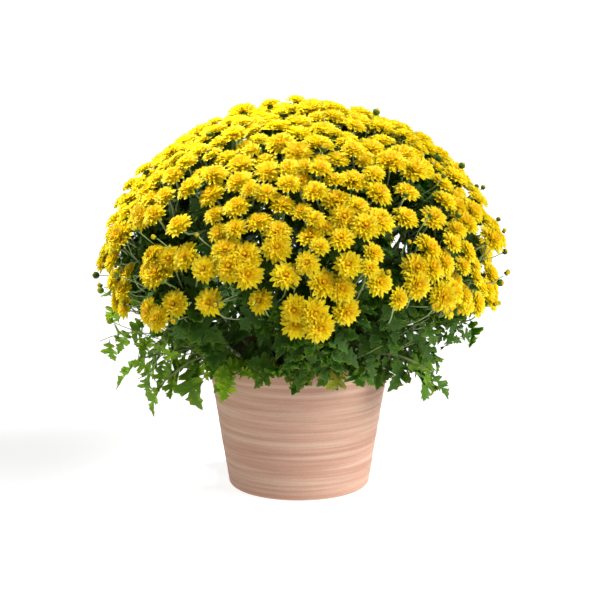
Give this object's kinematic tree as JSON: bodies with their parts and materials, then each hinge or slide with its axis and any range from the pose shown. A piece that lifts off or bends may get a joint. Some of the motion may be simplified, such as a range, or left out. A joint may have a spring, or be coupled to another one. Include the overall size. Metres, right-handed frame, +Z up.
{
  "type": "pot chrysanthemum",
  "caption": "Flowering house plant: a dense dome of double yellow blooms over lobed dark leaves, in a plain tapered round terracotta pot filled with soil.",
  "frame": {"origin": "centre of the pot's flat underside, on the ground plane", "axes": "+Z up along the pot's axis; -Y towards the side seen in the picture; +X to that view's right"},
  "size_m": [0.4889, 0.4852, 0.4656],
  "materials": {
    "terracotta": "unglazed fired clay, matt, with pale turning streaks",
    "potting_soil": "moist dark potting soil, rough",
    "leaf_green": "living leaf and stem, dark green, satin",
    "petal_yellow": "petals, soft matt yellow, golden at the heart"
  },
  "bodies": {
    "root": {"pot": "terracotta", "soil": "potting_soil", "spray_01": "leaf_green", "blooms_01": "petal_yellow", "spray_02": "leaf_green", "blooms_02": "petal_yellow", "spray_03": "leaf_green", "blooms_03": "petal_yellow", "spray_04": "leaf_green", "blooms_04": "petal_yellow", "spray_05": "leaf_green", "blooms_05": "petal_yellow", "spray_06": "leaf_green", "blooms_06": "petal_yellow", "spray_07": "leaf_green", "blooms_07": "petal_yellow", "spray_08": "leaf_green", "blooms_08": "petal_yellow", "spray_09": "leaf_green", "blooms_09": "petal_yellow", "spray_10": "leaf_green", "blooms_10": "petal_yellow", "spray_11": "leaf_green", "blooms_11": "petal_yellow", "spray_12": "leaf_green", "blooms_12": "petal_yellow", "spray_13": "leaf_green", "blooms_13": "petal_yellow", "spray_14": "leaf_green", "blooms_14": "petal_yellow", "spray_15": "leaf_green", "blooms_15": "petal_yellow", "spray_16": "leaf_green", "blooms_16": "petal_yellow", "spray_17": "leaf_green", "blooms_17": "petal_yellow", "spray_18": "leaf_green", "blooms_18": "petal_yellow", "spray_19": "leaf_green", "blooms_19": "petal_yellow", "spray_20": "leaf_green", "blooms_20": "petal_yellow", "spray_21": "leaf_green", "blooms_21": "petal_yellow", "spray_22": "leaf_green", "blooms_22": "petal_yellow", "spray_23": "leaf_green", "blooms_23": "petal_yellow", "spray_24": "leaf_green", "blooms_24": "petal_yellow", "leafy_shoot_01": "leaf_green", "leafy_shoot_02": "leaf_green", "leafy_shoot_03": "leaf_green", "leafy_shoot_04": "leaf_green", "leafy_shoot_05": "leaf_green", "leafy_shoot_06": "leaf_green", "leafy_shoot_07": "leaf_green", "leafy_shoot_08": "leaf_green", "leafy_shoot_09": "leaf_green", "leafy_shoot_10": "leaf_green"}
  },
  "joints": []
}
